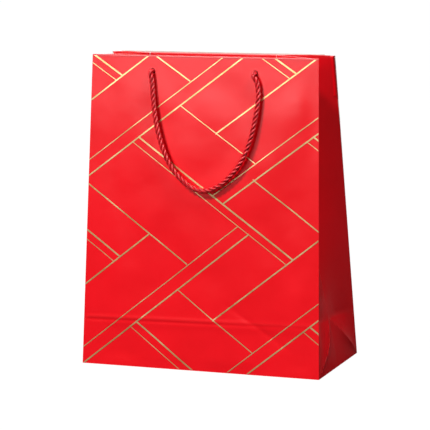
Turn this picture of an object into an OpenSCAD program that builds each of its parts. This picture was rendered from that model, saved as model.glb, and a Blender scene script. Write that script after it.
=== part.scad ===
// Large paper gift bag with gusseted sides and two twisted rope handles.
// It stands on z = 0, centred on the origin. The front wall faces -Y and the right gusset faces +X.
// The walls lean in from their bottom edges, so the mouth is narrower than the bottom.

/* [Bag] */
// Width of the bottom
bag_w = 260; // [240:5:300]
// Height of the walls, measured along the paper
bag_h = 320; // [300:5:360]
// Depth of the bottom
bag_d = 120; // [110:5:140]
// Depth of the mouth between the two walls
mouth_d = 50; // [48:1:60]
// Width of the mouth
mouth_w = 246; // [230:2:290]
// Height of the crease across the foot of each gusset
foot_h = 49; // [40:1:60]
// How far the gusset's centre crease is pushed in at the mouth
gusset_in = 54; // [50:1:58]
// Thickness of the laminated paper
paper_t = 0.4; // [0.3:0.05:0.6]

/* [Rim] */
// Width of the rim folded down inside
hem_h = 40; // [30:1:45]
// Height of the stiff card strip inside the rim
card_h = 34; // [28:1:38]
// Thickness of the stiff card strip
card_t = 1; // [0.6:0.1:1.4]

/* [Handles] */
// Distance between the two rope holes of one wall
hole_gap = 112; // [100:2:126]
// Distance from the rim down to the rope holes
hole_drop = 16; // [12:1:20]
// Diameter of the punched rope holes
hole_d = 6.6; // [6.2:0.1:7]
// Diameter of the twisted rope
rope_d = 5.5; // [4.5:0.1:5.8]

/* [Bottom] */
// Thickness of the loose base board
board_t = 1.2; // [0.8:0.1:2]
// Clearance between the base board and the walls
board_gap = 3; // [2.5:0.5:6]
// How far each bottom flap reaches past the middle
flap_lap = 15; // [10:1:20]

/* [Foil] */
// Thickness of the foil lines on the paper
foil_t = 0.08; // [0.05:0.01:0.15]
// Rise of the foil lines for each millimetre across
foil_rise = 0.73; // [0.5:0.01:1]
// Width and height of one repeat of the foil pattern
foil_pitch = 189; // [150:1:220]
// How far the print rises for each millimetre across, because it sits a little askew
foil_tilt = 0.031; // [0:0.001:0.05]

/* [Hidden] */

$fn = 48;
LEFT = -1;
RIGHT = 1;
FRONT = -1;
BACK = 1;
paper_red = "crimson";
shaded_red = "firebrick";
card_white = "whitesmoke";
foil_gold = "goldenrod";
rope_red = "red";

// The slope and height of the leaning walls.
lean = asin((bag_d - mouth_d) / 2 / bag_h);
rim_z = bag_h * cos(lean);

// Gaps that keep the panels of the sheet apart: between glued layers, at a fold, and at a panel's free end.
skin = 0.05;
fold_gap = 0.8;
end_gap = 1;
wall_foot = 0.6;

// Card, hem and seam: widths, and how far the layers lie inside the wall's outer face.
card_w = mouth_w - 22;
card_drop = 1;
hem_w = mouth_w - 14;
hem_out = paper_t + card_t + 2 * skin;
hem_in = hem_out + paper_t;
tab_w = 14;
tab_edge = 6;
tab_foot = 4;

// Where the paper of a gusset half and of its hem stops, as shares of its width and height.
gusset_from_t = 0.006;
gusset_to_s = 0.993;
gusset_hem_to_s = 0.97;
gusset_hem_to_t = 0.998;

// Rope holes, and the knot: a flattened ball with a ring round it, a neck through the hole and a tail.
hole_v = bag_h - hole_drop;
drill_l = 20;
rope_r = rope_d / 2;
knot_r = 6;
knot_flat = 1.5;
knot_ring_r = 3.2;
knot_tail = 15;
neck_l = 4;

// Folded ends under the base board, and the board's rounded corners.
riser_t = 0.6;
tuck_reach = 48;
board_end_gap = 1.5;
board_corner_r = 3;

// One handle's route on its wall: [across, height along the wall, distance off the wall].
ROPE_ROUTE = [[-56, 304, 3.5], [-55, 296, 3.6], [-53.8, 286, 3.9], [-52, 270, 4.5], [-49.2, 254, 5.1],
              [-45.5, 240, 5.7], [-41, 227, 6], [-35.5, 215, 6.2], [-29, 205, 6.2], [-21, 196.5, 6.1],
              [-12, 189.5, 6], [-3, 185.7, 5.9], [6, 185, 5.9], [15, 187.2, 6], [24.5, 192.6, 6.1],
              [33, 200.3, 6.2], [41, 209.5, 6.2], [47, 219.5, 6.1], [52, 231, 5.9], [55.8, 243.5, 5.6],
              [58.6, 257, 5.2], [60.6, 270, 4.7], [61.4, 283, 4.1], [59.6, 295, 3.6], [56, 304, 3.5]];

// Foil lines of one repeat: [direction, height at the wall's middle, from x, to x, width].
FOIL_LINES = [[1, 119, -176, 41, 0.9], [1, 102.5, -165, 52.5, 1.4], [1, 181, -174, -57, 1.4],
              [-1, 189, -70, 100, 1.6], [-1, 179, -77, 93, 0.8], [-1, 288, -133, -14, 1.3],
              [-1, 255, -25, 58, 1]];
foil_bow = 0.00016;
foil_inset = 0.5;

// Places a child drawn on a wall: x across, y off the wall towards the inside, z along the wall's height.
module on_wall(side) {
    rotate([0, 0, side == FRONT ? 0 : 180])
        translate([0, -bag_d / 2, 0])
            rotate([-lean, 0, 0])
                children();
}

function wall_half(v) = bag_w / 2 - (bag_w - mouth_w) / 2 * v / bag_h;

// Outline of a broad wall between two heights, drawn in across and height.
module wall_outline(from_v, to_v, inset = 0) {
    low = wall_half(from_v) - inset;
    high = wall_half(to_v) - inset;
    polygon([[-low, from_v], [low, from_v], [high, to_v], [-high, to_v]]);
}

// Stands an outline up as a sheet, from one distance inside the wall to another.
module sheet(from_in, to_in) {
    translate([0, to_in, 0])
        rotate([90, 0, 0])
            linear_extrude(to_in - from_in)
                children();
}

module rope_holes() {
    for (x = [-hole_gap / 2, hole_gap / 2])
        translate([x, 0, hole_v])
            rotate([90, 0, 0])
                cylinder(d = hole_d, h = drill_l, center = true);
}

module wall_panel(side) {
    color(paper_red)
        on_wall(side)
            difference() {
                sheet(0, paper_t) wall_outline(wall_foot, bag_h);
                rope_holes();
            }
}

module wall_card(side) {
    color(card_white)
        on_wall(side)
            difference() {
                translate([-card_w / 2, paper_t + skin, bag_h - card_h - card_drop])
                    cube([card_w, card_t, card_h]);
                rope_holes();
            }
}

module wall_hem(side) {
    color(paper_red)
        on_wall(side)
            difference() {
                union() {
                    translate([-hem_w / 2, hem_out, bag_h - hem_h])
                        cube([hem_w, paper_t, hem_h]);
                    translate([-hem_w / 2, paper_t + skin, bag_h - paper_t])
                        cube([hem_w, hem_out - paper_t, paper_t]);
                }
                rope_holes();
            }
}

// The print sits a little askew on the wall, and its rows bow down towards the foot and the rim.
function printed(p) = [p[0], p[1] + foil_tilt * p[0] - foil_bow * pow(p[1] - bag_h / 2, 2)];

module foil_pattern() {
    for (i = [-1 : 1], j = [-1 : 1], line = FOIL_LINES) {
        rise = line[0] * foil_rise;
        half = line[4] / 2 * norm([1, rise]);
        shift = [i, j] * foil_pitch + [0, line[1]];
        from = printed(shift + [line[2], rise * line[2]]);
        to = printed(shift + [line[3], rise * line[3]]);
        polygon([from - [0, half], to - [0, half], to + [0, half], from + [0, half]]);
    }
}

module wall_foil(side) {
    color(foil_gold)
        on_wall(side)
            sheet(-foil_t, 0)
                difference() {
                    intersection() {
                        foil_pattern();
                        wall_outline(wall_foot + foil_inset, bag_h - foil_inset, inset = foil_inset);
                    }
                    for (x = [-hole_gap / 2, hole_gap / 2])
                        translate([x, hole_v])
                            circle(d = hole_d + foil_inset);
                }
}

// The knotted rope end inside the wall, with the straight stretch that passes through the hole.
module knot(side, across) {
    hem_gap = 0.1;
    knot_mid = hem_in + hem_gap + knot_r - knot_flat;
    color(rope_red)
        on_wall(side)
            translate([across * side * -hole_gap / 2, 0, hole_v])
                rotate([-90, 0, 0]) {
                    translate([0, 0, hem_gap])
                        cylinder(r = rope_r, h = hem_in + neck_l);
                    translate([0, 0, knot_mid])
                        intersection() {
                            sphere(r = knot_r);
                            cylinder(r = knot_r, h = 2 * (knot_r - knot_flat), center = true);
                        }
                    translate([0, 0, hem_in + hem_gap + rope_r])
                        rotate_extrude()
                            translate([knot_ring_r, 0])
                                circle(r = rope_r);
                    translate([0, 0, knot_mid])
                        rotate([-90, 0, 0])
                            cylinder(r = rope_r, h = knot_tail);
                }
}

module seam_tab() {
    tab_top = bag_h - hem_h - end_gap;
    low = wall_half(tab_foot);
    high = wall_half(tab_top);
    color(shaded_red)
        on_wall(BACK)
            sheet(paper_t + skin, 2 * paper_t + skin)
                polygon([[tab_edge - low, tab_foot], [tab_edge + tab_w - low, tab_foot],
                         [tab_edge + tab_w - high, tab_top], [tab_edge - high, tab_top]]);
}

// Point of a front right gusset half: s runs from the corner edge to the centre crease, t up the bag.
function corner_edge(t) = [bag_w / 2 - (bag_w - mouth_w) / 2 * t, (mouth_d - bag_d) / -2 * t - bag_d / 2, rim_z * t];
function centre_crease(t) =
    [bag_w / 2 - (gusset_in + (bag_w - mouth_w) / 2) * t, 0, rim_z * t];
function gusset_point(s, t) = corner_edge(t) + s * (centre_crease(t) - corner_edge(t));
function unit(v) = v / norm(v);
function gusset_inward(s, t) =
    unit(cross(centre_crease(t) - corner_edge(t), gusset_point(s, 1) - gusset_point(s, 0)) * -1);

// A thin curved sheet between two grids of points, rows by columns.
module curved_sheet(outer, inner) {
    rows = len(outer);
    cols = len(outer[0]);
    function at(layer, r, c) = (layer * rows + r) * cols + c;
    rim = concat([for (c = [0 : cols - 1]) [0, c]], [for (r = [1 : rows - 1]) [r, cols - 1]],
                 [for (c = [cols - 2 : -1 : 0]) [rows - 1, c]], [for (r = [rows - 2 : -1 : 1]) [r, 0]]);
    polyhedron(
        [for (layer = [outer, inner], row = layer, p = row) p],
        [for (r = [0 : rows - 2], c = [0 : cols - 2]) each [
            [at(0, r, c), at(0, r + 1, c), at(0, r, c + 1)],
            [at(0, r + 1, c), at(0, r + 1, c + 1), at(0, r, c + 1)],
            [at(1, r, c), at(1, r, c + 1), at(1, r + 1, c)],
            [at(1, r + 1, c), at(1, r, c + 1), at(1, r + 1, c + 1)]],
         for (k = [0 : len(rim) - 1]) let (a = rim[k], b = rim[(k + 1) % len(rim)]) each [
            [at(0, a[0], a[1]), at(0, b[0], b[1]), at(1, a[0], a[1])],
            [at(0, b[0], b[1]), at(1, b[0], b[1]), at(1, a[0], a[1])]]]);
}

// Part of a gusset half, from one share of its height to another, at a depth inside the paper.
// It starts edge_gap behind the front of the wall, and ends at the share to_s of the way to the centre crease.
module gusset_sheet(edge_gap, to_s, from_t, to_t, depth, foot_slope = 0) {
    cols = 4;
    rows = 7;
    function edge_s(r) = -edge_gap / corner_edge(from_t + (to_t - from_t) * r / (rows - 1))[1];
    function grid(d) = [for (r = [0 : rows - 1]) [for (c = [0 : cols - 1])
        let (s = edge_s(r) + (to_s - edge_s(r)) * c / (cols - 1),
             low = from_t + foot_slope * s,
             t = low + (to_t - low) * r / (rows - 1))
        gusset_point(s, t) + d * gusset_inward(s, t)]];
    curved_sheet(grid(depth), grid(depth + paper_t));
}

// Turns the front right quarter into any quarter.
module quarter(across, side) {
    mirror([across == LEFT ? 1 : 0, 0, 0])
        mirror([0, side == BACK ? 1 : 0, 0])
            children();
}

module gusset_half(across, side) {
    color(shaded_red)
        quarter(across, side)
            gusset_sheet(3 * paper_t, gusset_to_s, gusset_from_t, 1, 0, foot_slope = foot_h / rim_z);
}

module gusset_hem(across, side) {
    color(shaded_red)
        quarter(across, side)
            gusset_sheet(6 * paper_t, gusset_hem_to_s, 1 - hem_h / bag_h, gusset_hem_to_t, paper_t + skin);
}

// The low triangle of a gusset, with its tip cut off where the folds meet.
module gusset_foot(across) {
    half_d = bag_d / 2 - 2 * fold_gap;
    color(shaded_red)
        mirror([across == LEFT ? 1 : 0, 0, 0])
            translate([bag_w / 2, 0, 0])
                rotate([0, -atan((gusset_in + (bag_w - mouth_w) / 2) / rim_z), 0])
                    rotate([90, 0, -90])
                        linear_extrude(paper_t)
                            polygon([[-half_d, end_gap], [half_d, end_gap],
                                     [end_gap, foot_h - fold_gap], [-end_gap, foot_h - fold_gap]]);
}

// The outer flap comes from the back wall, and laps over the end of the inner one.
module bottom_outer_flap() {
    color(paper_red)
        translate([end_gap - bag_w / 2, -flap_lap, 0])
            cube([bag_w - 2 * end_gap, bag_d / 2 + flap_lap - fold_gap, paper_t]);
}

// The inner flap steps up over the outer one, past a riser.
module bottom_inner_flap() {
    step = paper_t + skin;
    start = fold_gap - bag_d / 2;
    riser = -flap_lap - 4 * skin;
    color(paper_red)
        translate([end_gap - bag_w / 2, 0, 0])
            rotate([90, 0, 90])
                linear_extrude(bag_w - 2 * end_gap)
                    polygon([[start, 0], [riser, 0], [riser, step], [flap_lap, step], [flap_lap, step + paper_t],
                             [riser - riser_t, step + paper_t], [riser - riser_t, paper_t], [start, paper_t]]);
}

// A gusset's end, folded in flat with its two corners cut at 45 degrees.
module bottom_tuck(across) {
    outer_x = bag_w / 2 - end_gap - 4 * skin;
    inner_x = bag_w / 2 - tuck_reach;
    outer_y = bag_d / 2 - 2 * end_gap;
    inner_y = bag_d / 2 - tuck_reach;
    color(shaded_red)
        mirror([across == LEFT ? 1 : 0, 0, 0])
            translate([0, 0, 2 * (paper_t + skin)])
                linear_extrude(paper_t)
                    polygon([[outer_x, -outer_y], [outer_x, outer_y], [inner_x, inner_y], [inner_x, -inner_y]]);
}

module base_board() {
    half_w = bag_w / 2 - board_gap - board_end_gap;
    half_d = bag_d / 2 - board_gap;
    color(card_white)
        translate([0, 0, 3 * (paper_t + skin)])
            linear_extrude(board_t)
                hull()
                    for (x = [-1, 1], y = [-1, 1])
                        translate([x * (half_w - board_corner_r), y * (half_d - board_corner_r)])
                            circle(r = board_corner_r);
}

// A round tube swept along a route, with its rings square to the route.
module tube(route, radius, sides = 8) {
    last = len(route) - 1;
    function along(k) = unit(route[min(k + 1, last)] - route[max(k - 1, 0)]);
    function ring(k) =
        let (w = along(k), u = unit(cross(w, [0, 1, 0])), v = cross(w, u))
        [for (a = [0 : 360 / sides : 359]) route[k] + radius * (u * cos(a) + v * sin(a))];
    polyhedron(
        [for (k = [0 : last]) each ring(k)],
        [[for (i = [0 : sides - 1]) i],
         [for (i = [sides - 1 : -1 : 0]) last * sides + i],
         for (k = [0 : last - 1], i = [0 : sides - 1]) let (j = (i + 1) % sides) each [
            [k * sides + i, (k + 1) * sides + i, k * sides + j],
            [(k + 1) * sides + i, (k + 1) * sides + j, k * sides + j]]]);
}

module rope(side) {
    color(rope_red)
        on_wall(side)
            tube([for (p = ROPE_ROUTE) [p[0], -p[2], p[1]]], rope_r);
}

bottom_outer_flap();
bottom_inner_flap();
bottom_tuck(LEFT);  // left_bottom_tuck
bottom_tuck(RIGHT);  // right_bottom_tuck
gusset_foot(LEFT);  // left_gusset_foot
gusset_foot(RIGHT);  // right_gusset_foot
gusset_half(LEFT, FRONT);  // left_front_gusset
gusset_half(LEFT, BACK);  // left_back_gusset
gusset_half(RIGHT, FRONT);  // right_front_gusset
gusset_half(RIGHT, BACK);  // right_back_gusset
gusset_hem(LEFT, FRONT);  // left_front_gusset_hem
gusset_hem(LEFT, BACK);  // left_back_gusset_hem
gusset_hem(RIGHT, FRONT);  // right_front_gusset_hem
gusset_hem(RIGHT, BACK);  // right_back_gusset_hem
wall_panel(FRONT);  // front_panel
wall_card(FRONT);  // front_card
wall_hem(FRONT);  // front_hem
wall_foil(FRONT);  // front_foil
knot(FRONT, LEFT);  // front_left_knot
knot(FRONT, RIGHT);  // front_right_knot
wall_panel(BACK);  // back_panel
wall_card(BACK);  // back_card
wall_hem(BACK);  // back_hem
wall_foil(BACK);  // back_foil
knot(BACK, LEFT);  // back_left_knot
knot(BACK, RIGHT);  // back_right_knot
seam_tab();
rope(FRONT);  // front_rope
rope(BACK);  // back_rope
base_board();
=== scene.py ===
"""Looks for the gift bag: folded paper walls and gussets, foil lines, card strips, knots and twisted ropes.

Everything is in metres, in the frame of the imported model: the front wall faces -Y, +Z is up.
"""

import math

import bmesh
import bpy
from mathutils import Matrix, Vector, noise

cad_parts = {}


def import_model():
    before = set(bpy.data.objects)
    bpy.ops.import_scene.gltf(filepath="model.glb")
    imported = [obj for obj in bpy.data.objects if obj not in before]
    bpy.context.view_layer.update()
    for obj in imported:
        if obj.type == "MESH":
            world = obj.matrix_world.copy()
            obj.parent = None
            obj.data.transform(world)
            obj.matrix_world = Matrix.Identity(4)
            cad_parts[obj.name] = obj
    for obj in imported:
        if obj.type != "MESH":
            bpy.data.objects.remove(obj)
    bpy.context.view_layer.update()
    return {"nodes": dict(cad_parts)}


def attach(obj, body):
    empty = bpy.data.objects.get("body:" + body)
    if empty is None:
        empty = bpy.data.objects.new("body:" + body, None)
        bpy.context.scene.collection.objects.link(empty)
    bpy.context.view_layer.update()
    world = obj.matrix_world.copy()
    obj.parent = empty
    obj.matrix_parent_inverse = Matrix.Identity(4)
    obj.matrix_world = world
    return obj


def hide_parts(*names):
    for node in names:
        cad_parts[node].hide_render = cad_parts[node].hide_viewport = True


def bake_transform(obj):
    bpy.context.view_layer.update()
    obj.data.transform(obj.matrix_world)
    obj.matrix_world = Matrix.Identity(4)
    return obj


MM = 0.001

# Driving sizes of the bag, in millimetres, as the design has them.
BAG_W, BAG_H, BAG_D = 260, 320, 120
MOUTH_W, MOUTH_D = 246, 50
FOOT_H = 49
GUSSET_IN = 54
PAPER_T = 0.4
CARD_T = 1.0
HEM_H = 40
HOLE_GAP, HOLE_DROP, HOLE_D = 112, 16, 6.6
ROPE_D = 5.5
ROPE_PITCH = 17

# The yarn's own coordinates: its lay as a share of the rope's, its fineness round and along a strand, and the
# shift from one strand to the next.
YARN_LAY, YARN_COUNT, YARN_GRAIN, YARN_SHIFT = 0.6, 1.6, 90, 40

FOIL_RISE, FOIL_PITCH, FOIL_TILT, FOIL_BOW = 0.73, 189, 0.031, 0.00016

# What folding and handling do to the sheet, in millimetres: the lower back rim, the flat glued lap, the
# waves and the belly of a wall, its foot crease, the shelf below it, and one faint crease beside it.
BACK_DIP = 2.5
SEAM_W = 16
WAVES, BELLY = 1.3, 0.8
FOLD_DEPTH, SHELF_DEPTH, CREASE_DEPTH = 0.3, 0.5, 0.35
GUSSET_WAVES, GUSSET_BELLY, GUSSET_RIDGE, GUSSET_DIP = 1.1, 1.2, 2.6, 6
FOOT_LAP_DEPTH = 3

# Small distances that keep thin layers apart, in millimetres.
FOIL_LIFT = 0.14
FOIL_OVERLAP = 0.03
FOIL_INSET = 0.3
HEM_GAP = 0.08
HEM_END_GAP = 1.6

# Foil lines of one repeat: (direction, height at the wall's middle, from x, to x, width).
FOIL_LINES = [
    (1, 119, -176, 41, 0.9),
    (1, 102.5, -165, 52.5, 1.4),
    (1, 181, -174, -57, 1.4),
    (-1, 189, -70, 100, 1.6),
    (-1, 179, -77, 93, 0.8),
    (-1, 288, -133, -14, 1.3),
    (-1, 255, -25, 58, 1.0),
]

# One handle's route on its wall: (across, height along the wall, distance off the wall).
ROPE_ROUTE = [
    (-56, 304, 3.5), (-55, 296, 3.6), (-53.8, 286, 3.9), (-52, 270, 4.5), (-49.2, 254, 5.1),
    (-45.5, 240, 5.7), (-41, 227, 6), (-35.5, 215, 6.2), (-29, 205, 6.2), (-21, 196.5, 6.1),
    (-12, 189.5, 6), (-3, 185.7, 5.9), (6, 185, 5.9), (15, 187.2, 6), (24.5, 192.6, 6.1),
    (33, 200.3, 6.2), (41, 209.5, 6.2), (47, 219.5, 6.1), (52, 231, 5.9), (55.8, 243.5, 5.6),
    (58.6, 257, 5.2), (60.6, 270, 4.7), (61.4, 283, 4.1), (59.6, 295, 3.6), (56, 304, 3.5),
]

LEAN = math.asin((BAG_D - MOUTH_D) / 2 / BAG_H)
RIM_Z = BAG_H * math.cos(LEAN)
HOLE_V = BAG_H - HOLE_DROP
HEM_IN = 2 * PAPER_T + CARD_T + 0.1
FRONT, BACK = -1, 1
LEFT, RIGHT = -1, 1
SIDES = {"front": FRONT, "back": BACK}
ENDS = {"left": LEFT, "right": RIGHT}
WALL_SEED = {FRONT: 3, BACK: 21}

# Shares of a gusset: the foot's height, the mitre of the inner face, and the lap behind the foot.
APEX = FOOT_H / RIM_Z
MITRE = 0.016
FOOT_LAP = 0.3


# --- materials ---------------------------------------------------------------------------------


class Nodes:
    """A small helper that adds shader nodes to one material and links them."""

    def __init__(self, name):
        self.material = bpy.data.materials.new(name)
        self.material.use_nodes = True
        self.tree = self.material.node_tree
        self.shader = self.tree.nodes["Principled BSDF"]

    def add(self, kind, settings=None, **inputs):
        node = self.tree.nodes.new(kind)
        for key, value in (settings or {}).items():
            setattr(node, key, value)
        for key, value in inputs.items():
            self.put(node, key.replace("_", " "), value)
        return node

    def put(self, node, key, value):
        socket = node.inputs[key]
        if isinstance(value, bpy.types.NodeSocket):
            self.tree.links.new(value, socket)
        else:
            socket.default_value = value

    def set(self, **inputs):
        for key, value in inputs.items():
            self.put(self.shader, key.replace("_", " "), value)

    def place(self):
        return self.add("ShaderNodeTexCoord").outputs["Object"]

    def noise(self, scale, detail=4.0, roughness=0.55, where=None):
        node = self.add("ShaderNodeTexNoise", Vector=where or self.place())
        node.inputs["Scale"].default_value = scale
        node.inputs["Detail"].default_value = detail
        node.inputs["Roughness"].default_value = roughness
        return node.outputs["Fac"]

    def ramp(self, value, low, high, start=0.3, end=0.7):
        node = self.add("ShaderNodeValToRGB", Fac=value)
        node.color_ramp.elements[0].position = start
        node.color_ramp.elements[0].color = low
        node.color_ramp.elements[1].position = end
        node.color_ramp.elements[1].color = high
        return node.outputs["Color"]

    def bump(self, height, strength, distance, normal=None):
        node = self.add("ShaderNodeBump", Height=height)
        node.inputs["Strength"].default_value = strength
        node.inputs["Distance"].default_value = distance
        if normal is not None:
            self.tree.links.new(normal, node.inputs["Normal"])
        return node.outputs["Normal"]


def grey(value):
    return (value, value, value, 1)


def red_paper():
    """Red printed paper under a soft-touch film: fine grain, faint mottling, lighter worn creases."""
    n = Nodes("red_paper")
    mottle = n.ramp(n.noise(18, 5), (0.84, 0.0008, 0.006, 1), (0.90, 0.0018, 0.009, 1))
    worn = n.add("ShaderNodeAttribute", {"attribute_name": "crease"}).outputs["Fac"]
    rubbed = n.add("ShaderNodeMixRGB", Fac=worn, Color1=mottle, Color2=(0.92, 0.05, 0.05, 1))
    grain = n.bump(n.noise(2600, 2), 0.2, 0.00012)
    slack = n.bump(n.noise(26, 2, 0.4), 0.35, 0.0022, grain)
    n.set(Base_Color=rubbed.outputs["Color"], Normal=slack)
    n.set(Roughness=n.ramp(n.noise(900, 3), grey(0.28), grey(0.35)))
    n.shader.inputs["Specular IOR Level"].default_value = 0.4
    return n.material


def white_paper():
    """The paper's uncoated inner face, with soft fibres."""
    n = Nodes("white_paper")
    n.set(Base_Color=n.ramp(n.noise(240, 6), (0.80, 0.78, 0.74, 1), (0.88, 0.87, 0.84, 1)))
    n.set(Roughness=n.ramp(n.noise(500, 3), grey(0.78), grey(0.9)))
    n.set(Normal=n.bump(n.noise(1500, 5, 0.7), 0.35, 0.0002))
    return n.material


def white_card():
    """Pressed board: cloudy grey-white with darker flecks of fibre."""
    n = Nodes("white_card")
    clouds = n.ramp(n.noise(60, 6, 0.6), (0.70, 0.67, 0.61, 1), (0.82, 0.80, 0.75, 1))
    flecks = n.add("ShaderNodeTexVoronoi", Vector=n.place())
    flecks.inputs["Scale"].default_value = 700
    dark = n.ramp(flecks.outputs["Distance"], grey(0.35), grey(1.0), 0.02, 0.10)
    mixed = n.add("ShaderNodeMixRGB", {"blend_type": "MULTIPLY"}, Color1=clouds, Color2=dark)
    mixed.inputs["Fac"].default_value = 0.35
    n.set(Base_Color=mixed.outputs["Color"])
    n.set(Roughness=n.ramp(n.noise(300, 3), grey(0.8), grey(0.92)))
    n.set(Normal=n.bump(n.noise(900, 6, 0.7), 0.5, 0.0003))
    return n.material


def gold_foil():
    """Stamped foil: metal that takes the paper's slight waves, so it flashes bright and dark along a line."""
    n = Nodes("gold_foil")
    tone = n.ramp(n.noise(30, 3), (0.66, 0.46, 0.17, 1), (0.90, 0.69, 0.35, 1))
    waves = n.bump(n.noise(16, 2, 0.4), 0.5, 0.004)
    emboss = n.bump(n.noise(1400, 2), 0.25, 0.0001, waves)
    n.set(Base_Color=tone, Normal=emboss)
    n.set(Roughness=n.ramp(n.noise(200, 3), grey(0.30), grey(0.42)))
    n.shader.inputs["Metallic"].default_value = 0.7
    return n.material


def red_rope():
    """Twisted satin yarn: streaks along each strand that run from dark to light, partly the yarn's own tone
    and partly painted highlight and painted shade in the grooves.
    """
    n = Nodes("red_rope")
    along = n.add("ShaderNodeAttribute", {"attribute_name": "yarn"}).outputs["Vector"]
    fibres = n.noise(1.0, 3, 0.6, where=along)
    # Base colour spans lit and shaded values: bright streaks are painted highlight, dark ones painted groove
    # shade, over the fibres' own tone.
    fibre_tone_and_painted_shine = n.ramp(fibres, (0.30, 0.001, 0.006, 1), (0.86, 0.012, 0.022, 1), 0.32, 0.62)
    n.set(Base_Color=fibre_tone_and_painted_shine, Normal=n.bump(fibres, 0.9, 0.0004))
    n.set(Roughness=n.ramp(fibres, grey(0.45), grey(0.27)))
    n.shader.inputs["Sheen Weight"].default_value = 0.08
    n.shader.inputs["Sheen Roughness"].default_value = 0.35
    return n.material


def pale_floor():
    """A lit white table: bright to look at, but it throws little light back on the object."""
    n = Nodes("pale_floor")
    n.set(Base_Color=n.ramp(n.noise(3, 2), grey(0.05), grey(0.06)))
    n.set(Roughness=n.ramp(n.noise(8, 2), grey(0.85), grey(0.95)))
    glow = n.add("ShaderNodeEmission")
    glow.inputs["Strength"].default_value = 1.25
    lit = n.add("ShaderNodeMixShader")
    lit.inputs["Fac"].default_value = 0.8
    n.tree.links.new(n.shader.outputs["BSDF"], lit.inputs[1])
    n.tree.links.new(glow.outputs["Emission"], lit.inputs[2])
    seen = n.add("ShaderNodeLightPath")
    either = n.add("ShaderNodeMixShader", Fac=seen.outputs["Is Camera Ray"])
    n.tree.links.new(n.shader.outputs["BSDF"], either.inputs[1])
    n.tree.links.new(lit.outputs["Shader"], either.inputs[2])
    n.tree.links.new(either.outputs["Shader"], n.tree.nodes["Material Output"].inputs["Surface"])
    return n.material


# --- geometry of the folded sheet ------------------------------------------------------------------


def smooth(value, start, end):
    """0 before start, 1 after end, and smooth between."""
    t = min(max((value - start) / (end - start), 0), 1)
    return t * t * (3 - 2 * t)


def mix(a, b, t):
    return a + (b - a) * t


def steps(start, end, count):
    """Evenly spaced values from start to end, both included."""
    return [mix(start, end, i / count) for i in range(count + 1)]


def on_wall(side, x, v, off):
    """A point on a wall, in metres, from x across, v up along it and off outside it, in millimetres."""
    y = -off * math.cos(LEAN) + v * math.sin(LEAN) - BAG_D / 2
    z = off * math.sin(LEAN) + v * math.cos(LEAN)
    turn = 1 if side == FRONT else -1
    return Vector((turn * x, turn * y, z)) * MM


def half_width(v):
    return mix(BAG_W, MOUTH_W, v / BAG_H) / 2


def rim_height(side):
    """The back wall's rim was folded a little lower than the front's."""
    return BAG_H - (BACK_DIP if side == BACK else 0)


def fold_height(x):
    """The crease across the wall's foot climbs a little to the right."""
    return FOOT_H + mix(-1.2, 3.2, x / BAG_W + 0.5)


def ripple(x, y, seed):
    """Slow waves of a handled sheet, from about -1 to 1."""
    broad = noise.noise(Vector((x / 70, y / 90, seed)))
    fine = noise.noise(Vector((x / 28, y / 34, seed + 7)))
    return broad + 0.4 * fine


def wall_lift(x, v, seed):
    """How far the paper stands off the plane of its wall, in millimetres."""
    sides = smooth(half_width(v) - x, 0, 22) * smooth(half_width(v) + x, SEAM_W, SEAM_W + 26)
    loose = sides * smooth(v, 0, 14) * smooth(BAG_H - v, 0, 46)
    slack = WAVES * ripple(x, v, seed) + BELLY * math.cos(math.pi * x / BAG_W)
    shelf = -SHELF_DEPTH * smooth(fold_height(x) - v, 0, 12)
    creased = smooth(half_width(v) - abs(x), 0, 6)
    return loose * (slack + shelf) + creased * (foot_fold(x, v) + slanted_crease(x, v))


def foot_fold(x, v):
    """The crease across a wall's foot: a ridge over a groove, both fainter to the right."""
    above = v - fold_height(x)
    ridge = math.exp(-((above - 1.4) / 2.2) ** 2)
    groove = math.exp(-((above + 1.2) / 1.8) ** 2)
    fade = mix(0.35, 1, smooth(100 - x, 0, 120))
    return FOLD_DEPTH * fade * (ridge - groove)


def slanted_crease(x, v):
    """A faint crease that falls to the right and crosses the foot fold."""
    line = (v - 74) + 0.62 * (x - 22)
    reach = smooth(x, 18, 42) * smooth(112 - x, 0, 30)
    return -CREASE_DEPTH * reach * math.exp(-(line / 3.2) ** 2)


def corner_edge(t):
    """The front right corner at a share t of the bag's height, in millimetres."""
    return Vector((mix(BAG_W, MOUTH_W, t) / 2, mix(-BAG_D, -MOUTH_D, t) / 2, RIM_Z * t))


def centre_crease(t):
    """The right gusset's middle crease, which sinks in towards the rim, in millimetres."""
    return Vector((BAG_W / 2 - (GUSSET_IN + (BAG_W - MOUTH_W) / 2) * t, 0, RIM_Z * t))


def gusset_normal(t):
    """Out of the front right gusset half, towards the open side of the fold."""
    across = centre_crease(t) - corner_edge(t)
    up = mix(corner_edge(1), centre_crease(1), 0.5) - mix(corner_edge(0), centre_crease(0), 0.5)
    return across.cross(up).normalized()


def gusset_point(s, t, lift, side=FRONT):
    """A point on the front right gusset half, in millimetres: s from corner to crease, t up the bag."""
    dip = (BAG_H - rim_height(side)) / BAG_H * (1 - s)
    return corner_edge(t - t * dip).lerp(centre_crease(t), s) + lift * gusset_normal(t)


def quarter(p, across, side):
    """Moves a point of the front right quarter to its quarter, in metres."""
    return Vector((p.x * across, p.y * -side, p.z)) * MM


# --- mesh helpers ----------------------------------------------------------------------------------


def new_object(name, verts, faces, materials, face_materials=None):
    mesh = bpy.data.meshes.new(name)
    mesh.from_pydata([tuple(v) for v in verts], [], faces)
    for material in materials:
        mesh.materials.append(material)
    if face_materials:
        mesh.polygons.foreach_set("material_index", face_materials)
    bm = bmesh.new()
    bm.from_mesh(mesh)
    bmesh.ops.recalc_face_normals(bm, faces=bm.faces)
    bm.to_mesh(mesh)
    bm.free()
    mesh.shade_smooth()
    obj = bpy.data.objects.new(name, mesh)
    bpy.context.collection.objects.link(obj)
    return obj


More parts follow.
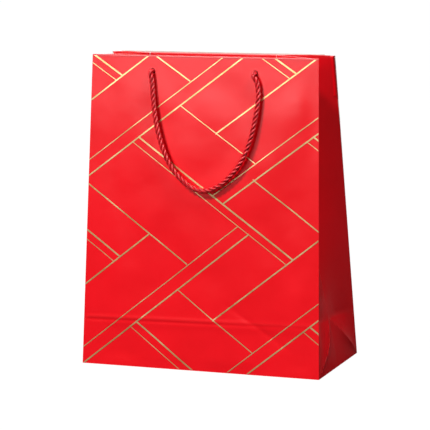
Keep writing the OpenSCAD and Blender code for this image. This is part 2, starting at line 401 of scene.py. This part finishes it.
def set_attribute(obj, name, kind, values):
    attribute = obj.data.attributes.new(name, kind, "POINT")
    key = "vector" if kind == "FLOAT_VECTOR" else "value"
    flat = [c for value in values for c in value] if kind == "FLOAT_VECTOR" else values
    attribute.data.foreach_set(key, flat)


def sheet(name, outer, inner, materials, crease=None):
    """A thin closed sheet between two grids of points, with the second material on its inner face."""
    rows, cols = len(outer), len(outer[0])
    verts = [p for layer in (outer, inner) for row in layer for p in row]

    def at(layer, r, c):
        return (layer * rows + r) * cols + c

    faces, slots = [], []
    for r in range(rows - 1):
        for c in range(cols - 1):
            faces.append((at(0, r, c), at(0, r, c + 1), at(0, r + 1, c + 1), at(0, r + 1, c)))
            faces.append((at(1, r, c), at(1, r + 1, c), at(1, r + 1, c + 1), at(1, r, c + 1)))
            slots += [0, 1]
    border = [(0, c) for c in range(cols)] + [(r, cols - 1) for r in range(1, rows)]
    border += [(rows - 1, c) for c in range(cols - 2, -1, -1)] + [(r, 0) for r in range(rows - 2, 0, -1)]
    for a, b in zip(border, border[1:] + border[:1]):
        faces.append((at(0, *a), at(1, *a), at(1, *b), at(0, *b)))
        slots.append(0)
    obj = new_object(name, verts, faces, materials, slots)
    if crease:
        set_attribute(obj, "crease", "FLOAT", [value for row in crease for value in row] * 2)
    sharpen(obj, 40)
    return obj


def sharpen(obj, degrees):
    """Marks edges sharper than an angle, so that folds and cut edges stay crisp."""
    bm = bmesh.new()
    bm.from_mesh(obj.data)
    for edge in bm.edges:
        if edge.is_boundary or edge.calc_face_angle(0) > math.radians(degrees):
            edge.smooth = False
    bm.to_mesh(obj.data)
    bm.free()


def frames_along(path):
    """Square frames carried along a path without twist: [(point, across, up)]."""
    frames = []
    across = None
    for k, point in enumerate(path):
        ahead = (path[min(k + 1, len(path) - 1)] - path[max(k - 1, 0)]).normalized()
        if across is None:
            across = ahead.orthogonal().normalized()
        across = (across - ahead * across.dot(ahead)).normalized()
        frames.append((point, across, ahead.cross(across)))
    return frames


def even_path(points, step):
    """Points a step apart along a smooth curve through the given points."""
    dense = []
    for k in range(len(points) - 1):
        p0, p1 = points[max(k - 1, 0)], points[k]
        p2, p3 = points[k + 1], points[min(k + 2, len(points) - 1)]
        for i in range(24):
            t = i / 24
            dense.append(0.5 * ((2 * p1) + (p2 - p0) * t + (2 * p0 - 5 * p1 + 4 * p2 - p3) * t * t
                                + (3 * p1 - p0 - 3 * p2 + p3) * t ** 3))
    dense.append(points[-1])
    lengths = [0]
    for a, b in zip(dense, dense[1:]):
        lengths.append(lengths[-1] + (b - a).length)
    count = max(round(lengths[-1] / step), 2)
    path, k = [], 0
    for i in range(count + 1):
        want = lengths[-1] * i / count
        while k < len(dense) - 2 and lengths[k + 1] < want:
            k += 1
        span = lengths[k + 1] - lengths[k] or 1
        path.append(dense[k].lerp(dense[k + 1], min((want - lengths[k]) / span, 1)))
    return path


def path_length(path):
    return sum((b - a).length for a, b in zip(path, path[1:]))


def twisted_rope(name, path, diameter, pitch, material, sides=10):
    """A rope of three strands that wind round a path, with the strands' own coordinates for the yarn."""
    pressed = 1.06
    strand_r = diameter * 0.5 / (1 + 2 / math.sqrt(3)) * pressed
    orbit = diameter / 2 - strand_r
    frames = frames_along(path)
    step = path_length(path) / (len(path) - 1)
    verts, faces, yarn = [], [], []
    for strand in range(3):
        first = len(verts)
        for k, (point, across, up) in enumerate(frames):
            turn = 2 * math.pi * (strand / 3 + k * step / pitch)
            outward = across * math.cos(turn) + up * math.sin(turn)
            sideways = up * math.cos(turn) - across * math.sin(turn)
            for i in range(sides):
                a = 2 * math.pi * i / sides
                ring = outward * (orbit + strand_r * math.cos(a)) + sideways * strand_r * math.sin(a)
                verts.append(point + ring)
                lay = a + 2 * math.pi * k * step / (pitch * YARN_LAY)
                yarn.append((YARN_COUNT * math.cos(lay), YARN_COUNT * math.sin(lay),
                             k * step * YARN_GRAIN + strand * YARN_SHIFT))
        for k in range(len(frames) - 1):
            for i in range(sides):
                j = (i + 1) % sides
                a, b = first + k * sides, first + (k + 1) * sides
                faces.append((a + i, a + j, b + j, b + i))
        last = first + (len(frames) - 1) * sides
        faces.append(tuple(first + i for i in reversed(range(sides))))
        faces.append(tuple(last + i for i in range(sides)))
    obj = new_object(name, verts, faces, [material])
    set_attribute(obj, "yarn", "FLOAT_VECTOR", yarn)
    return obj


# --- pieces --------------------------------------------------------------------------------------


def build_wall(name, side, paper):
    """One broad wall with its punched holes, its foot fold and the slack of handled paper."""
    seed = WALL_SEED[side]
    outer, inner, crease = [], [], []
    rim = rim_height(side)
    fold_low, fold_high = FOOT_H - 8, FOOT_H + 11
    rows_of_fold = steps(fold_low, fold_high, 26)
    for v in steps(0, fold_low, 20) + rows_of_fold[1:] + steps(fold_high, rim, 124)[1:]:
        half = half_width(v)
        xs = steps(-half, half, 120)
        outer.append([on_wall(side, x, v, wall_lift(x, v, seed)) for x in xs])
        inner.append([on_wall(side, x, v, wall_lift(x, v, seed) - PAPER_T) for x in xs])
        crease.append([wall_wear(x, v, rim, seed) for x in xs])
    wall = sheet(name + "_sheet", outer, inner, paper, crease)
    punch_holes(wall, side)
    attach(wall, name.split("_")[0] + "_wall")
    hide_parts(name)


def wall_wear(x, v, rim, seed):
    """How rubbed the film is: most along the rim, a little on the foot fold."""
    rub = 0.5 + 0.5 * noise.noise(Vector((x / 6, v / 6, seed)))
    on_rim = 0.2 * smooth(v, rim - 1.4, rim)
    on_fold = 0.1 * math.exp(-((v - fold_height(x) - 1.2) / 0.9) ** 2)
    return min(1, (on_rim + on_fold) * (0.6 + 0.8 * rub))


def punch_holes(wall, side):
    """Cuts the two rope holes with a drill that is thrown away."""
    for end in (LEFT, RIGHT):
        centre = on_wall(side, end * HOLE_GAP / 2, HOLE_V, 0)
        outward = (on_wall(side, 0, HOLE_V, 1) - on_wall(side, 0, HOLE_V, 0)).normalized()
        bm = bmesh.new()
        turned = outward.to_track_quat("Z", "Y").to_matrix().to_4x4()
        radius, depth = HOLE_D / 2 * MM, 12 * MM
        bmesh.ops.create_cone(bm, cap_ends=True, segments=32, radius1=radius, radius2=radius, depth=depth,
                              matrix=Matrix.Translation(centre) @ turned)
        mesh = bpy.data.meshes.new("drill")
        bm.to_mesh(mesh)
        bm.free()
        drill = bpy.data.objects.new("drill", mesh)
        bpy.context.collection.objects.link(drill)
        cut = wall.modifiers.new("hole", "BOOLEAN")
        cut.object = drill
        cut.operation = "DIFFERENCE"
        apply_modifiers(wall)
        bpy.data.objects.remove(drill)
        bpy.data.meshes.remove(mesh)


def apply_modifiers(obj):
    graph = bpy.context.evaluated_depsgraph_get()
    mesh = bpy.data.meshes.new_from_object(obj.evaluated_get(graph))
    obj.modifiers.clear()
    old = obj.data
    obj.data = mesh
    bpy.data.meshes.remove(old)


def printed(x, v):
    """The print sits a little askew on the wall, and its rows bow down towards the foot and the rim."""
    return x, v + FOIL_TILT * x - FOIL_BOW * (v - BAG_H / 2) ** 2


def foil_quads():
    """The corners of every foil line that may reach the wall, from the wall's middle and foot."""
    for i in (-1, 0, 1):
        for j in (-1, 0, 1):
            for direction, height, from_x, to_x, width in FOIL_LINES:
                rise = direction * FOIL_RISE
                half = width / 2 * math.hypot(1, rise)
                (x0, v0), (x1, v1) = [printed(i * FOIL_PITCH + x, j * FOIL_PITCH + height + rise * x)
                                      for x in (from_x, to_x)]
                yield direction, [(x0, v0 - half), (x1, v1 - half), (x1, v1 + half), (x0, v0 + half)]


def build_foil(name, side, material):
    """Foil lines cut to the wall's outline, sliced finely and laid on the wall's own surface."""
    seed = WALL_SEED[side]
    bm = bmesh.new()
    for direction, corners in foil_quads():
        lift = FOIL_OVERLAP if direction > 0 else 0
        bm.faces.new([bm.verts.new((x, v, lift)) for x, v in corners])
    edge, slope = BAG_W / 2 - FOIL_INSET, (BAG_W - MOUTH_W) / 2 / BAG_H
    foot, rim = 0.8, rim_height(side) - FOIL_INSET
    trims = [((0, foot), (0, -1)), ((0, rim), (0, 1)), ((-edge, 0), (-1, slope)), ((edge, 0), (1, slope))]
    for point, outward in trims:
        cut_plane(bm, (*point, 0), (*outward, 0), clear=True)
    slice_w = 2
    for x in range(-BAG_W // 2, BAG_W // 2, slice_w):
        cut_plane(bm, (x, 0, 0), (1, 0, 0))
    for end in (LEFT, RIGHT):
        hole = Vector((end * HOLE_GAP / 2, HOLE_V))
        reach = HOLE_D / 2 + FOIL_INSET
        near = [face for face in bm.faces if (face.calc_center_median().xy - hole).length < reach]
        bmesh.ops.delete(bm, geom=near, context="FACES")
    bmesh.ops.remove_doubles(bm, verts=bm.verts, dist=0.02)
    for vert in bm.verts:
        x, v, lift = vert.co
        vert.co = on_wall(side, x, v, wall_lift(x, v, seed) + FOIL_LIFT + lift)
    mesh = bpy.data.meshes.new(name + "_lines")
    bm.to_mesh(mesh)
    bm.free()
    mesh.materials.append(material)
    foil = bpy.data.objects.new(name + "_lines", mesh)
    bpy.context.collection.objects.link(foil)
    point_outward(foil, on_wall(side, 0, 0, 1) - on_wall(side, 0, 0, 0))
    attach(foil, name.split("_")[0] + "_wall")
    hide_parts(name)


def cut_plane(bm, point, normal, clear=False):
    geometry = bm.verts[:] + bm.edges[:] + bm.faces[:]
    bmesh.ops.bisect_plane(bm, geom=geometry, plane_co=point, plane_no=normal, clear_outer=clear)


def point_outward(obj, outward):
    """Turns every face of a flat piece to face one way."""
    bm = bmesh.new()
    bm.from_mesh(obj.data)
    bm.normal_update()
    bmesh.ops.reverse_faces(bm, faces=[f for f in bm.faces if f.normal.dot(outward) < 0])
    bm.to_mesh(obj.data)
    bm.free()


def build_hem(name, side, paper):
    """The rim folded over the card and down inside, in one rounded sheet."""
    seed = WALL_SEED[side]
    radius = HEM_IN / 2
    top = rim_height(side) - radius
    roll_steps = 10
    profile = [(radius * math.cos(a) - radius, top + radius * math.sin(a))
               for a in steps(0, math.pi, roll_steps)]
    profile += [(-HEM_IN - 0.25 * share, top - HEM_H * share) for share in steps(0, 1, 14)[1:]]
    outer, inner, wear = [], [], []
    columns = 70
    for k, (off, v) in enumerate(profile):
        half = half_width(v) - (0.2 if k <= roll_steps // 2 else HEM_END_GAP)
        a, b = profile[max(k - 1, 0)], profile[min(k + 1, len(profile) - 1)]
        along = Vector((b[0] - a[0], b[1] - a[1])).normalized()
        depth = Vector((along.y, -along.x)) * PAPER_T
        xs = steps(-half, half, columns)
        outer.append([on_wall(side, x, v, off + hem_wave(x, v, seed)) for x in xs])
        inner.append([on_wall(side, x, v + depth.y, off + depth.x + hem_wave(x, v, seed)) for x in xs])
        rub = 0.35 * smooth(v, top + 0.2, top + radius)
        wear.append([rub * (0.6 + 0.4 * noise.noise(Vector((x, v, 5)))) for x in range(columns + 1)])
    hem = sheet(name + "_fold", outer, inner, paper, wear)
    punch_holes(hem, side)
    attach(hem, name.split("_")[0] + "_wall")
    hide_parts(name)


def hem_wave(x, v, seed):
    """The hem is glued down near the rim and stands off a little at its free edge."""
    return -0.35 * smooth(BAG_H - v, 8, HEM_H) * (0.5 + 0.5 * noise.noise(Vector((x / 30, 0, seed + 2))))


def gusset_seed(across, side):
    return 40 + 5 * across + 9 * side


def gusset_lift(s, t, fold, seed):
    """How far a gusset stands off its ruled surface.

    The paper is slack, stands up in a ridge along the diagonal fold, and dips along the level fold.
    """
    inside = math.sin(math.pi * min(max(s, 0), 1))
    edge = smooth(t, 0, 0.05) * smooth(1 - t, 0, 0.05)
    waves = GUSSET_WAVES * ripple(s * BAG_D / 2, t * BAG_H, seed)
    slack = inside * edge * (waves + GUSSET_BELLY * smooth(t, 0.15, 0.5))
    diagonal = APEX * s
    ridge = GUSSET_RIDGE * inside * math.exp(-abs(t - diagonal) / 0.03)
    if t > fold:
        depth = math.exp((fold - t) / 0.09)
    else:
        depth = max(t - diagonal, 0) / max(fold - diagonal, 0.01)
    return slack + ridge - GUSSET_DIP * inside * depth


def fold_share(s, across, side):
    """The level fold's height on a gusset half, as a share: from the wall's own fold to the apex."""
    corner = across * BAG_W / 2 * (1 if side == FRONT else -1)
    return mix(fold_height(corner) / RIM_Z, APEX, s)


def gusset_blend(piece):
    """Bakes a gusset half's placement into its mesh; it is not attached to the wall or the base."""
    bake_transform(piece)


def build_gusset(end_name, side_name, paper):
    """One gusset half, from a lap behind its foot up to the level fold, and from there up to the rim."""
    across, side = ENDS[end_name], SIDES[side_name]
    name = f"{end_name}_{side_name}_gusset"
    seed = gusset_seed(across, side)
    outer, inner, crease = [], [], []
    rows = [(share, 0) for share in steps(0, 1, 14)] + [(1, share) for share in steps(0, 1, 76)[1:]]
    for below, above in rows:
        row_out, row_in, row_wear = [], [], []
        for s in steps(0, 1, 28):
            fold = fold_share(s, across, side)
            low = APEX * s * (1 - FOOT_LAP)
            t = mix(mix(low, fold, below), 1, above)
            lap = FOOT_LAP_DEPTH * smooth(APEX * s - t, 0, 0.03)
            lift = gusset_lift(s, t, fold, seed) - lap
            row_out.append(quarter(gusset_point(s, t, lift, side), across, side))
            row_in.append(quarter(gusset_point(max(s, MITRE), t, lift - PAPER_T, side), across, side))
            row_wear.append(gusset_wear(s, t, fold, seed))
        outer.append(row_out)
        inner.append(row_in)
        crease.append(row_wear)
    piece = sheet(name + "_sheet", outer, inner, paper, crease)
    gusset_blend(piece)
    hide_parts(name)


def gusset_wear(s, t, fold, seed):
    """How rubbed the film is: along the middle crease, the level fold and the rim."""
    rub = 0.5 + 0.5 * noise.noise(Vector((s * 12, t * 50, seed)))
    centre = 0.15 * smooth(s, 0.97, 1)
    level = 0.15 * math.exp(-((t - fold) / 0.003) ** 2)
    rim = 0.3 * smooth(t, 0.994, 1)
    return min(1, (centre + level + rim) * (0.5 + rub))


def build_gusset_hem(end_name, side_name, paper):
    """The rim of one gusset half, folded down inside."""
    across, side = ENDS[end_name], SIDES[side_name]
    name = f"{end_name}_{side_name}_gusset_hem"
    seed = gusset_seed(across, side)
    outer, inner = [], []
    for t in steps(1 - HEM_H / BAG_H, 1, 20):
        top = smooth(t, 0.996, 1)
        row_out, row_in = [], []
        for s in steps(0.1, 0.985, 24):
            lift = gusset_lift(s, t, APEX, seed) - PAPER_T - HEM_GAP
            row_out.append(quarter(gusset_point(s, t, lift + 0.2 * top, side), across, side))
            row_in.append(quarter(gusset_point(s, t, lift - PAPER_T, side), across, side))
        outer.append(row_out)
        inner.append(row_in)
    piece = sheet(name + "_fold", outer, inner, paper)
    gusset_blend(piece)
    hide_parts(name)


def build_foot(end_name, paper):
    """The low triangle between the two diagonal folds of one gusset."""
    across = ENDS[end_name]
    name = f"{end_name}_gusset_foot"
    outer, inner, crease = [], [], []
    for k in steps(0, 1, 16):
        row_out, row_in, row_wear = [], [], []
        for c in steps(-1, 1, 48):
            s = 1 - abs(c)
            t = APEX * s * k
            side = FRONT if c < 0 else BACK
            bulge = foot_lift(s, k, gusset_seed(across, side))
            row_out.append(quarter(gusset_point(s, t, bulge, side), across, side))
            row_in.append(quarter(gusset_point(s, t, bulge - PAPER_T, side), across, side))
            row_wear.append(0.3 * smooth(k, 0.94, 1))
        outer.append(row_out)
        inner.append(row_in)
        crease.append(row_wear)
    foot = sheet(name + "_sheet", outer, inner, paper, crease)
    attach(foot, "base")
    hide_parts(name)


def foot_lift(s, share, seed):
    """The foot bows from the bottom edge out to the ridge of the diagonal."""
    return gusset_lift(s, APEX * s, APEX, seed) * share ** 3


def build_knot(side_name, end_name, rope):
    """The rope's end, tied in a small knot against the hem, with a short tail that hangs down."""
    side = SIDES[side_name]
    name = f"{side_name}_{end_name}_knot"
    x = -side * ENDS[end_name] * HOLE_GAP / 2
    knot = []
    for a in steps(math.pi / 2, 5 * math.pi / 2, 18):
        ring = 3.4 + 1.5 * math.cos(3 * a / 2)
        knot.append((ring * math.cos(a), ring * math.sin(a), -4.6 - 1.7 * math.sin(3 * a / 2)))
    lead_in = [(0, 0, HEM_IN + 0.4), (0, 0, 0), (0.4, 1.6, -1.6)]
    tail = [(-1.6, 1.0, -6.2), (-1.2, -5.0, -5.4), (-0.8, -10.0, -4.2), (-0.6, -15.0, -3.6)]
    points = [on_wall(side, x + px, HOLE_V + pv, off - HEM_IN) for px, pv, off in lead_in + knot + tail]
    path = even_path(points, 0.9 * MM)
    piece = twisted_rope(name + "_rope", path, ROPE_D * 0.92 * MM, ROPE_PITCH * MM, rope, sides=8)
    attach(piece, side_name + "_wall")
    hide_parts(name)


def build_handle(side_name, rope):
    """One handle: out of a hole, down over the wall in a loop, and back into the other hole."""
    side = SIDES[side_name]
    lead = [(-0.6, 0.2), (0.8, 0.1), (2.4, -0.5), (3.7, -3.2)]
    ends = [[on_wall(side, end * HOLE_GAP / 2, HOLE_V + dv, off) for off, dv in lead]
            for end in (LEFT, RIGHT)]
    loop = [on_wall(side, x, v, off) for x, v, off in ROPE_ROUTE[1:-1]]
    path = even_path(ends[0] + loop + ends[1][::-1], 1.0 * MM)
    handle = twisted_rope(f"{side_name}_rope_twist", path, ROPE_D * MM, ROPE_PITCH * MM, rope)
    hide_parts(f"{side_name}_rope")
    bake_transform(handle)


def finish_cad_nodes(frame, materials):
    """The pieces whose design shape is right keep it and get their real material."""
    finishes = {
        "bottom_outer_flap": "red_paper", "bottom_inner_flap": "red_paper",
        "left_bottom_tuck": "red_paper", "right_bottom_tuck": "red_paper",
        "seam_tab": "white_paper", "front_card": "white_card", "back_card": "white_card",
        "base_board": "white_card",
    }
    for name, finish in finishes.items():
        node = frame["nodes"][name]
        node.data.materials.clear()
        node.data.materials.append(materials[finish])


# --- camera, lights and floor --------------------------------------------------------------------


def add_camera():
    """A long lens from the front right, slightly above, as a product photographer sets it."""
    azimuth, elevation, roll = math.radians(22.07), math.radians(10.23), math.radians(-1.4)
    target = Vector((-0.0019, 0, 0.1511))
    distance = 2.457
    back = Vector((math.sin(azimuth) * math.cos(elevation), -math.cos(azimuth) * math.cos(elevation),
                   math.sin(elevation)))
    right = Vector((math.cos(azimuth), math.sin(azimuth), 0))
    up = back.cross(right)
    turned_right = right * math.cos(roll) + up * math.sin(roll)
    turned_up = up * math.cos(roll) - right * math.sin(roll)
    data = bpy.data.cameras.new("camera")
    data.lens = 199.5
    data.sensor_width = 36
    data.clip_end = 20
    camera = bpy.data.objects.new("camera", data)
    axes = Matrix((turned_right, turned_up, back)).transposed()
    camera.matrix_world = Matrix.Translation(target + back * distance) @ axes.to_4x4()
    bpy.context.collection.objects.link(camera)
    bpy.context.scene.camera = camera


def add_light(name, place, aim, width, height, energy):
    data = bpy.data.lights.new(name, "AREA")
    data.shape = "RECTANGLE"
    data.size = width
    data.size_y = height
    data.energy = energy
    light = bpy.data.objects.new(name, data)
    light.location = place
    light.rotation_euler = (Vector(aim) - Vector(place)).to_track_quat("-Z", "Y").to_euler()
    bpy.context.collection.objects.link(light)


def add_sun(name, towards, spread, strength):
    """A distant light that comes from one direction, with a soft edge to its shadows."""
    data = bpy.data.lights.new(name, "SUN")
    data.angle = math.radians(spread)
    data.energy = strength
    light = bpy.data.objects.new(name, data)
    light.rotation_euler = Vector(towards).to_track_quat("Z", "Y").to_euler()
    bpy.context.collection.objects.link(light)


def add_world():
    """Even soft light from all round, and plain white where the camera looks past the floor."""
    world = bpy.data.worlds.new("studio")
    world.use_nodes = True
    tree = world.node_tree
    soft = tree.nodes["Background"]
    soft.inputs["Color"].default_value = (1, 1, 1, 1)
    soft.inputs["Strength"].default_value = 0.06
    white = tree.nodes.new("ShaderNodeBackground")
    white.inputs["Strength"].default_value = 1.0
    seen = tree.nodes.new("ShaderNodeLightPath")
    either = tree.nodes.new("ShaderNodeMixShader")
    tree.links.new(seen.outputs["Is Camera Ray"], either.inputs["Fac"])
    tree.links.new(soft.outputs["Background"], either.inputs[1])
    tree.links.new(white.outputs["Background"], either.inputs[2])
    tree.links.new(either.outputs["Shader"], tree.nodes["World Output"].inputs["Surface"])
    bpy.context.scene.world = world


def add_floor(material):
    """A plain floor, wide enough to fill the view."""
    size = 6
    corners = [(-size, -size, 0), (size, -size, 0), (size, size, 0), (-size, size, 0)]
    floor = new_object("floor", corners, [(0, 1, 2, 3)], [material])


def main():
    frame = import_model()
    materials = {"red_paper": red_paper(), "white_paper": white_paper(), "white_card": white_card(),
                 "gold_foil": gold_foil(), "red_rope": red_rope()}
    paper = [materials["red_paper"], materials["white_paper"]]
    all_red = [materials["red_paper"], materials["red_paper"]]

    add_camera()
    for side_name, side in SIDES.items():
        build_handle(side_name, materials["red_rope"])
        build_wall(side_name + "_panel", side, paper)
        build_foil(side_name + "_foil", side, materials["gold_foil"])
        build_hem(side_name + "_hem", side, all_red)
        for end_name in ENDS:
            build_gusset(end_name, side_name, paper)
            build_gusset_hem(end_name, side_name, all_red)
            build_knot(side_name, end_name, materials["red_rope"])
    for end_name in ENDS:
        build_foot(end_name, paper)
    finish_cad_nodes(frame, materials)

    add_floor(pale_floor())
    add_world()
    add_sun("key", (-0.6, -0.85, 1.2), 7, 3.1)
    add_light("softbox", (-0.29, -0.76, 0.47), (0, 0, 0.30), 0.5, 0.2, 1.9)
    add_light("fill", (1.0, -0.3, 1.8), (0, 0, 0.15), 0.7, 0.7, 19)
    add_light("back", (-0.7, 1.5, 0.9), (0, 0, 0.15), 1.0, 1.0, 16)
    bpy.context.scene.view_settings.view_transform = "Standard"

    bpy.context.view_layer.update()


main()
